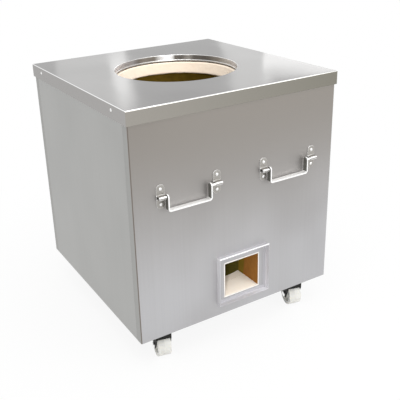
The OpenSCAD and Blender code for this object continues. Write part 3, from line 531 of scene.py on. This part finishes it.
def close_tree(tree, source, shape):
    """Ends a tree: instances made real, its finish set, and out."""
    real = add(tree, "GeometryNodeRealizeInstances", links={"Geometry": shape})
    coated = add(tree, "GeometryNodeSetMaterial", links={"Geometry": real,
                                                         "Material": source.outputs["Finish"]})
    add(tree, "NodeGroupOutput", links={"Geometry": coated})
    return tree


def solved(base, tree, name, **inputs):
    """Runs a tree on a base object, its inputs set by identifier, and keeps the plain mesh.

    An underscore in an input's keyword stands for the space in its name.
    """
    known = {item.name: item.identifier for item in tree.interface.items_tree
             if item.item_type == "SOCKET" and item.in_out == "INPUT"}
    step = base.modifiers.new("shape", "NODES")
    step.node_group = tree
    for label, value in inputs.items():
        step[known[label.replace("_", " ")]] = value
    return plain_mesh(base, name)


def turning_tree():
    """Turns a profile round +Z, as on a potter's wheel, and lets the hand's wobble show."""
    tree, source = tree_of("turned_on_a_wheel", [
        ("Segments", "NodeSocketInt", 96), ("Hand Wobble", "NodeSocketFloat", 0.0),
        ("Wobble Size", "NodeSocketFloat", 0.1), ("Seed", "NodeSocketInt", 0),
        ("Finish", "NodeSocketMaterial", None)])
    profile = source.outputs["Geometry"]
    size = add(tree, "GeometryNodeAttributeDomainSize", links={"Geometry": profile})
    rows = size.outputs["Point Count"]
    columns = add(tree, "FunctionNodeIntegerMath", {"operation": "ADD"},
                  {0: source.outputs["Segments"], 1: 1})
    skin = add(tree, "GeometryNodeMeshGrid", links={"Vertices X": columns, "Vertices Y": rows})
    index = add(tree, "GeometryNodeInputIndex")
    column = add(tree, "FunctionNodeIntegerMath", {"operation": "DIVIDE_FLOOR"},
                 {0: index, 1: rows})
    row = add(tree, "FunctionNodeIntegerMath", {"operation": "MODULO"}, {0: index, 1: rows})
    point = add(tree, "GeometryNodeSampleIndex", {"data_type": "FLOAT_VECTOR"},
                {"Geometry": profile, "Value": add(tree, "GeometryNodeInputPosition"),
                 "Index": row})
    share = add(tree, "ShaderNodeMath", {"operation": "DIVIDE"},
                {0: column, 1: source.outputs["Segments"]})
    angle = add(tree, "ShaderNodeMath", {"operation": "MULTIPLY"}, {0: share, 1: math.tau})
    swung = add(tree, "ShaderNodeVectorRotate", {"rotation_type": "Z_AXIS"},
                {"Vector": point, "Angle": angle})
    round_skin = add(tree, "GeometryNodeSetPosition", links={"Geometry": skin,
                                                             "Position": swung})
    closed = add(tree, "GeometryNodeMergeByDistance", links={"Geometry": round_skin,
                                                             "Distance": 1e-6})
    place = add(tree, "GeometryNodeInputPosition")
    scaled = add(tree, "ShaderNodeVectorMath", {"operation": "DIVIDE"},
                 {0: place, 1: source.outputs["Wobble Size"]})
    noise = add(tree, "ShaderNodeTexNoise", {"noise_dimensions": "4D"},
                {"Vector": scaled, "W": source.outputs["Seed"], "Scale": 1.0, "Detail": 1.0})
    swing = add(tree, "ShaderNodeMath", {"operation": "MULTIPLY_ADD"}, {0: noise, 1: 2.0, 2: -1.0})
    reach = add(tree, "ShaderNodeMath", {"operation": "MULTIPLY"},
                {0: swing, 1: source.outputs["Hand Wobble"]})
    push = add(tree, "ShaderNodeVectorMath", {"operation": "SCALE"},
               {0: add(tree, "GeometryNodeInputNormal"), "Scale": reach})
    formed = add(tree, "GeometryNodeSetPosition", links={"Geometry": closed, "Offset": push})
    smooth = add(tree, "GeometryNodeSetShadeSmooth", links={"Geometry": formed})
    return close_tree(tree, source, smooth)


def setting_tree():
    """Sets one part at every point, turned as the point's facing says, and spun at random."""
    tree, source = tree_of("set_at_points", [
        ("Part", "NodeSocketObject", None), ("Spin", "NodeSocketFloat", 0.0),
        ("Seed", "NodeSocketInt", 0), ("Finish", "NodeSocketMaterial", None)])
    part = add(tree, "GeometryNodeObjectInfo", links={"Object": source.outputs["Part"]})
    facing = add(tree, "GeometryNodeInputNamedAttribute", {"data_type": "FLOAT_VECTOR"},
                 {"Name": "facing"})
    placed = add(tree, "GeometryNodeInstanceOnPoints",
                 links={"Points": source.outputs["Geometry"], "Instance": part.outputs["Geometry"],
                        "Rotation": facing.outputs["Attribute"]})
    spin = add(tree, "FunctionNodeRandomValue", {"data_type": "FLOAT"},
               {"Min": 0.0, "Max": source.outputs["Spin"], "Seed": source.outputs["Seed"]})
    about = add(tree, "ShaderNodeCombineXYZ", links={"Z": spin})
    spun = add(tree, "GeometryNodeRotateInstances", links={"Instances": placed,
                                                           "Rotation": about})
    return close_tree(tree, source, spun)


TURNING, SETTING = turning_tree(), setting_tree()


def line_of(points):
    """A holder of ordered points (radius, height) in millimetres, a profile for turning."""
    mesh = bpy.data.meshes.new("profile")
    mesh.from_pydata([(x * MM, 0, z * MM) for x, z in points],
                     [(i, i + 1) for i in range(len(points) - 1)], [])
    return holder("profile", mesh)


def turn_outwards(thing):
    """Merges a mesh's doubles and turns its faces outwards."""
    bm = bmesh.new()
    bm.from_mesh(thing.data)
    bmesh.ops.remove_doubles(bm, verts=bm.verts, dist=1e-6)
    bmesh.ops.dissolve_degenerate(bm, edges=bm.edges, dist=1e-7)
    bmesh.ops.recalc_face_normals(bm, faces=bm.faces)
    bm.to_mesh(thing.data)
    bm.free()
    return thing


def turned(name, points, segments, finish, wobble=0.0, size=100.0, seed=0):
    """A piece turned about +Z from a profile, with a hand's wobble of a size, in millimetres."""
    return turn_outwards(solved(line_of(points), TURNING, name, Segments=segments,
                                Hand_Wobble=wobble * MM, Wobble_Size=size * MM, Seed=seed,
                                Finish=finish))


def set_out(name, part, places, finish, spin, seed):
    """The part, set at places of (point, Euler turn) in millimetres and degrees; it is used up."""
    mesh = bpy.data.meshes.new("places")
    mesh.from_pydata([[c * MM for c in point] for point, turn in places], [], [])
    facing = mesh.attributes.new("facing", "FLOAT_VECTOR", "POINT")
    for item, (point, turn) in zip(facing.data, places):
        item.vector = [math.radians(a) for a in turn]
    made = solved(holder("places", mesh), SETTING, name, Part=part, Spin=spin, Seed=seed,
                  Finish=finish)
    bpy.data.objects.remove(part)
    return made


def arc(centre, radius, start, end, steps):
    """Points on an arc round a centre, from one angle to another in degrees."""
    angles = [math.radians(start + (end - start) * i / steps) for i in range(steps + 1)]
    return [(centre[0] + radius * math.cos(a), centre[1] + radius * math.sin(a)) for a in angles]


def cut(thing, tool, name):
    """The thing less the tool's room, as a plain mesh."""
    step = thing.modifiers.new("cut", "BOOLEAN")
    step.operation, step.object, step.solver = "DIFFERENCE", tool, "EXACT"
    made = plain_mesh(thing, name)
    bpy.data.objects.remove(tool)
    return turn_outwards(made)


def block(low, high, soft):
    """A box between two corners in millimetres, its edges rounded by soft."""
    bm = bmesh.new()
    bmesh.ops.create_cube(bm, size=1.0)
    for vert in bm.verts:
        vert.co = Vector([(l if c < 0 else h) * MM for c, l, h in zip(vert.co, low, high)])
    bmesh.ops.bevel(bm, geom=bm.edges[:], offset=soft * MM, segments=2, profile=0.5,
                    affect="EDGES", clamp_overlap=True)
    return bm


def gather(name, *shapes):
    """Several edited meshes or objects as one new object."""
    whole = bmesh.new()
    for shape in shapes:
        if isinstance(shape, bpy.types.Object):
            whole.from_mesh(shape.data)
            bpy.data.objects.remove(shape)
        else:
            mesh = bpy.data.meshes.new("part")
            shape.to_mesh(mesh)
            shape.free()
            whole.from_mesh(mesh)
            bpy.data.meshes.remove(mesh)
    return from_bmesh(name, whole)


def softened(node, width, segments=2):
    """A solid's copy with its sharp edges, past 28 degrees, rounded by a width in millimetres."""
    bm = bmesh.new()
    bm.from_mesh(frame["nodes"][node].data)
    bmesh.ops.remove_doubles(bm, verts=bm.verts, dist=1e-5)
    bmesh.ops.dissolve_limit(bm, angle_limit=math.radians(0.5), verts=bm.verts, edges=bm.edges)
    made = from_bmesh(node + "_soft", bm)
    step = made.modifiers.new("soft", "BEVEL")
    step.width, step.segments, step.limit_method = width * MM, segments, "ANGLE"
    step.angle_limit, step.use_clamp_overlap = math.radians(28), False
    step.harden_normals = False
    return plain_mesh(made, node + "_dressed")


# ---------------------------------------------------------------- clay pot, turned by hand
def pot_side(grow, steps=44):
    """The pot's side as the frame has it: a cubic from foot to rim, moved out by grow."""
    made = []
    for i in range(steps + 1):
        t = i / steps
        a, b, c, d = (1 - t) ** 3, 3 * (1 - t) ** 2 * t, 3 * (1 - t) * t ** 2, t ** 3
        radius = a * POT_FOOT_R + (b + c) * POT_BELLY_R + d * POT_NECK_R
        made.append((radius + grow, POT_Z + (0.3 * b + 0.72 * c + d) * (RIM_Z - POT_Z)))
    return made


lip_r = MOUTH_R - LIP_IN
edge = (MOUTH_R - LIP_TOP_IN + LIP_ROUND, RIM_Z - LIP_ROUND + 0.5)
wall = [p for p in pot_side(-POT_WALL) if p[1] < RIM_Z - LIP_H - 70]
pot = turned("clay_pot_hand_formed", [
    (POT_FOOT_R, POT_Z), *pot_side(0)[1:], *arc(edge, LIP_ROUND, 86, 172, 8),
    (lip_r + 4.6, RIM_Z - 18), (lip_r + 1.2, RIM_Z - 28),
    *arc((lip_r + 4, RIM_Z - 32), 4, 175, 250, 4), (lip_r + 9, RIM_Z - 39.5),
    (lip_r + LIP_LEDGE, RIM_Z - LIP_H - 6), *wall[::-1], (POT_FOOT_R, POT_Z)],
    240, POT_CLAY, wobble=0.9, size=85, seed=7)
hole = from_bmesh("vent_hole", block((VENT_X - VENT_HALF_W, -2 * BODY_HALF, VENT_Z),
                                     (VENT_X + VENT_HALF_W, 0, VENT_Z + VENT_H), 2))
pot = cut(pot, hole, "clay_pot_hand_formed")
dress(pot, POT_CLAY, "cabinet", "clay_pot", crease=50)

# ---------------------------------------------------------------- steel collar, rolled and beaded
bead = (MOUTH_R + 1, TOP_Z - COLLAR_H + BEAD_R)
rim = [(MOUTH_R + out, TOP_Z - down) for out, down in (
    (1.5, COLLAR_H - 6), (1.5, 0.8), (1.5, 0.05), (0.9, 0.3), (0.45, 0.9), (0.15, 1.9), (0, 3.2),
    (0, 8), (0, COLLAR_H - 6))]
collar = turned("mouth_collar_rolled", [*arc(bead, BEAD_R, 114, 438, 24), *rim,
                                        arc(bead, BEAD_R, 114, 115, 1)[0]], 256, COLLAR_STEEL)
dress(collar, COLLAR_STEEL, "cabinet", "mouth_collar")


# ---------------------------------------------------------------- screws, rivets and bolts
def prism(sections):
    """A closed bar through outlines of as many points each, given in millimetres."""
    bm = bmesh.new()
    loops = [[bm.verts.new([c * MM for c in point]) for point in section] for section in sections]
    for one, two in zip(loops, loops[1:]):
        for i in range(len(one)):
            j = (i + 1) % len(one)
            bm.faces.new((one[i], one[j], two[j], two[i]))
    bm.faces.new(loops[0][::-1])
    bm.faces.new(loops[-1])
    return bm


def hexagon(across, low, high, chamfer):
    """A hexagon head or nut on +Z, in millimetres, its upper corners chamfered."""
    corner = across / math.sqrt(3)
    turns = [math.radians(60 * i + 30) for i in range(6)]
    return prism([[(r * math.cos(a), r * math.sin(a), z) for a in turns] for r, z in (
        (corner, low), (corner, high - chamfer * 0.6), (corner - chamfer, high))])


def cross_bar(reach, half, low, high):
    """A bar of cross section on +Z, in millimetres, as a driver's tip has."""
    outline = [(reach, -half), (reach, half), (half, half), (half, reach), (-half, reach),
               (-half, half), (-reach, half), (-reach, -half), (-half, -half), (-half, -reach),
               (half, -reach), (half, -half)]
    return prism([[(x, y, z) for x, y in outline] for z in (low, high)])


head = turned("pan_head", [
    (0, 3.2), (2.2, 3.15), (3.1, 2.95), (4.2, 2.3), (4.8, 1.5), (5, 0.9), (5, 0.15),
    (4.85, 0), (2.5, 0), (2.5, -11), (2.0, -11.5), (0, -11.5)], 32, SCREW_STEEL)
head = cut(head, from_bmesh("cross", cross_bar(1.8, 0.35, 2.2, 5)), "screw_head")
screw = gather("screw", head, hexagon(8, -7.5, -3.5, 0.7))
dome = turned("rivet", [
    (0, 2.0), (1.5, 1.85), (3.0, 1.3), (4.2, 0.5), (4.75, 0.1), (4.8, 0), (2.4, 0),
    (2.4, -8.5), (3.6, -8.6), (3.6, -10.4), (0, -10.5)], 32, SCREW_STEEL)
shank = turned("washer_and_shank", [
    (0, 0.6), (6.6, 0.6), (6.8, 0.3), (6.8, 0), (4, 0), (4, -6.5), (3.5, -7), (0, -7)],
    24, SCREW_STEEL)
bolt = gather("bolt", hexagon(12, 0.6, 5, 1.0), shank)

BOTH = (-1, 1)
handle_places = [((side * BAIL_X + arm * BRACKET_PITCH / 2, face * (BODY_HALF + TAB_THICK),
                   BAIL_Z + rise), (-face * 90, 0, 0))
                 for face in BOTH for side in BOTH for arm in BOTH
                 for rise in (UPPER_SCREW, -LOWER_SCREW)]
rivet_places = [((side * (BODY_HALF + CAP_OVER), end * (BODY_HALF - RIVET_INSET),
                  TOP_Z - RIVET_DROP), (0, side * 90, 0)) for side in BOTH for end in BOTH]
bolt_places = [((side * CASTOR_X + a * BOLT_X, end * CASTOR_Y + b * BOLT_Y, BODY_Z - PLATE_THICK),
                (180, 0, 0)) for side in BOTH for end in BOTH for a in BOTH for b in BOTH]
for name, part, places, spin, seed, node in (
        ("handle_screws_cross_head", screw, handle_places, math.tau, 3, "handle_screws"),
        ("cap_rivets_domed", dome, rivet_places, 0.0, 0, "cap_rivets"),
        ("castor_bolts_hexagon", bolt, bolt_places, math.tau, 5, "castor_bolts")):
    fasteners = set_out(name, part, places, SCREW_STEEL, spin, seed)
    dress(turn_outwards(fasteners), SCREW_STEEL, "cabinet", node)

# ---------------------------------------------------------------- handles and vent frame
for face in ("front", "back"):
    for hand in ("left", "right"):
        bail = f"bail_{face}_{hand}"
        dress(softened(bail, 0.7, 3), HANDLE_STEEL, bail, bail)
        for place in ("outer", "inner"):
            bracket = f"bracket_{face}_{hand}_{place}"
            dress(softened(bracket, 0.7, 3), TAB_STEEL, "cabinet", bracket)
dress(softened("vent_frame", 0.35), FRAME_STEEL, "cabinet", "vent_frame")


# ---------------------------------------------------------------- castors
def wheel_half(side):
    """Half of the wheel's profile, from its bore out to the tread, on one side."""
    half = WHEEL_W / 2
    face = [(5.08, half - 0.6), (5.6, half), (11.4, half), (12, half - 0.6), (13.6, half - 7.6),
            (15, half - 9), (23.6, half - 9), (25.2, half - 7.6), (26.8, half - 0.6),
            (27.4, half), (WHEEL_R - 2.7, half),
            *arc((WHEEL_R - 2.7, half - 2.5), 2.5, 80, 0, 6), (WHEEL_R - 0.2, 0.9), (WHEEL_R, 0.35)]
    return [(r, side * z) for r, z in face]


for corner, (x, y, toe) in CORNERS.items():
    wheel = turned(f"wheel_{corner}_moulded", [*wheel_half(1), *wheel_half(-1)[::-1],
                                               wheel_half(1)[0]], 128, NYLON)
    at_castor = (Matrix.Translation((x * CASTOR_X * MM, y * CASTOR_Y * MM, 0))
                 @ Matrix.Rotation(math.radians(toe), 4, "Z"))
    wheel.data.transform(at_castor @ Matrix.Translation((0, -TRAIL * MM, WHEEL_R * MM))
                         @ Matrix.Rotation(math.radians(90), 4, "Y"))
    dress(wheel, NYLON, f"wheel_{corner}", f"wheel_{corner}")
    for node, width, finish, slot, body in (
            (f"fork_{corner}", 0.5, CASTOR_IRON, "castor_steel", f"swivel_{corner}"),
            (f"axle_{corner}", 0.4, SCREW_STEEL, "fastener_steel", f"swivel_{corner}"),
            (f"castor_plate_{corner}", 0.5, CASTOR_IRON, "castor_steel", "cabinet")):
        dress(softened(node, width), finish, body, node)

# ---------------------------------------------------------------- camera, as the photograph's
FRAME_PX, SENSOR = 400, 36                          # the photograph's side; millimetres
FOCAL_PX, CENTRE_X, CENTRE_Y = 637.5, 178.9, 173.0  # solved from the cabinet's corners
AZIMUTH, ELEVATION, ROLL = math.radians(-29.78), math.radians(21.88), math.radians(-2.19)
EYE = Vector((-1.0146, -1.7668, 1.2595))
back = Vector((math.sin(AZIMUTH) * math.cos(ELEVATION),
               -math.cos(AZIMUTH) * math.cos(ELEVATION), math.sin(ELEVATION)))
level = Vector((math.cos(AZIMUTH), math.sin(AZIMUTH), 0))
up = back.cross(level)
right = math.cos(ROLL) * level + math.sin(ROLL) * up
above = -math.sin(ROLL) * level + math.cos(ROLL) * up
lens = bpy.data.cameras.new("photo_camera")
lens.sensor_width = SENSOR
lens.lens = FOCAL_PX / FRAME_PX * SENSOR
lens.shift_x = (FRAME_PX / 2 - CENTRE_X) / FRAME_PX
lens.shift_y = (CENTRE_Y - FRAME_PX / 2) / FRAME_PX
lens.clip_start, lens.clip_end = 0.05, 60
camera = holder("photo_camera", lens)
camera.matrix_world = Matrix((*zip(right, above, back, EYE), (0, 0, 0, 1)))
scene.camera = camera


# ---------------------------------------------------------------- floor and white surround
def seen_or_mirrored(tree):
    """1 for rays from the camera, or by way of metal or glass, and 0 for those that light."""
    rays = add(tree, "ShaderNodeLightPath").outputs
    mirrored = add(tree, "ShaderNodeMath", {"operation": "MAXIMUM"},
                   {0: rays["Is Glossy Ray"], 1: rays["Is Transmission Ray"]})
    return add(tree, "ShaderNodeMath", {"operation": "MAXIMUM"},
               {0: rays["Is Camera Ray"], 1: mirrored})


world = bpy.data.worlds.new("white_surround")
scene.world = world
world.use_nodes = True
sky = world.node_tree
sky.nodes.clear()
white = add(sky, "ShaderNodeBackground", links={"Color": (1, 1, 1, 1), "Strength": 1.0})
soft = add(sky, "ShaderNodeBackground", links={"Color": (1, 1, 1, 1), "Strength": 0.75})
add(sky, "ShaderNodeOutputWorld", links={"Surface": add(
    sky, "ShaderNodeMixShader", links={0: seen_or_mirrored(sky), 1: soft, 2: white})})

FLOOR_R = 9.0                       # metres
SHADOW_NEAR, SHADOW_FAR = 0.45, 1.3
ground = bmesh.new()
bmesh.ops.create_circle(ground, cap_ends=True, segments=96, radius=FLOOR_R)
floor = from_bmesh("studio_floor", ground)
# matt paper, which keeps the oven's soft shadow and fades to plain white away from it
paper, tree, shader, place = finish_of("pale_studio_paper", {
    "Base Color": linear("#F4F4F3"), "Roughness": 0.9, "Specular IOR Level": 0.1})
away = add(tree, "ShaderNodeVectorMath", {"operation": "LENGTH"}, {0: place})
fade = add(tree, "ShaderNodeMapRange", SMOOTH,
           {"Value": away, "From Min": SHADOW_NEAR, "From Max": SHADOW_FAR,
            "To Min": 0.9, "To Max": 1.0})
share = add(tree, "ShaderNodeMath", {"operation": "MULTIPLY"}, {0: fade, 1: seen_or_mirrored(tree)})
glow = add(tree, "ShaderNodeEmission", links={"Color": (1, 1, 1, 1), "Strength": 1.0})
output = next(n for n in tree.nodes if n.bl_idname == "ShaderNodeOutputMaterial")
join(tree, output, {"Surface": add(tree, "ShaderNodeMixShader",
                                   links={0: share, 1: shader, 2: glow})})
floor.data.materials.append(paper)


# ---------------------------------------------------------------- lamps
def aim(name, light, power, spot, target, roll=0.0):
    """Puts a lamp at a spot, looking at a target, turned by roll degrees about its beam."""
    light.energy = power
    made = holder(name, light)
    made.location = spot
    made.rotation_euler = (Vector(target) - Vector(spot)).to_track_quat("-Z", "Y").to_euler()
    made.rotation_euler.rotate_axis("Z", math.radians(roll))


CAP_RIGHT, CAP_LEFT = (0.35, 0.0, 0.81), (-0.2, 0.0, 0.81)
# two boxes light the oven, and the cards and the strip are there for the cap to mirror
for name, width, height, power, spot, target, roll in (
        ("overhead_softbox", 2.4, 2.4, 36, (-0.3, -0.8, 3.0), (0, 0, 0.6), 0),
        ("front_softbox", 1.8, 1.4, 22, (1.4, -2.6, 1.6), (0, 0, 0.4), 0),
        ("back_right_card", 1.66, 0.75, 5.4, (2.645, 1.64, 1.17), CAP_RIGHT, 0),
        ("back_right_feather", 0.30, 0.97, 0.44, (1.90, 2.297, 1.28), CAP_RIGHT, 15),
        ("back_left_card", 0.55, 0.9, 0.5, (0.88, 2.86, 1.42), CAP_LEFT, 0),
        ("streak_strip", 0.14, 0.45, 0.15, (1.10, 2.76, 1.56), CAP_LEFT, 11.5)):
    light = bpy.data.lights.new(name, "AREA")
    light.shape, light.size, light.size_y = "RECTANGLE", width, height
    aim(name, light, power, spot, target, roll)

# narrow round lamps with a soft rim, one for each opening
for name, power, degrees, spot, target in (
        ("vent_snoot", 74, 9, (-1.25, -1.85, 1.1), (0.0, -0.3, 0.2)),
        ("mouth_snoot", 62, 10, (-0.44, -2.06, 1.7), (0.05, 0.17, 0.755))):
    light = bpy.data.lights.new(name, "SPOT")
    light.spot_size, light.spot_blend, light.shadow_soft_size = math.radians(degrees), 0.6, 0.12
    aim(name, light, power, spot, target)

scene.view_settings.view_transform = "Standard"
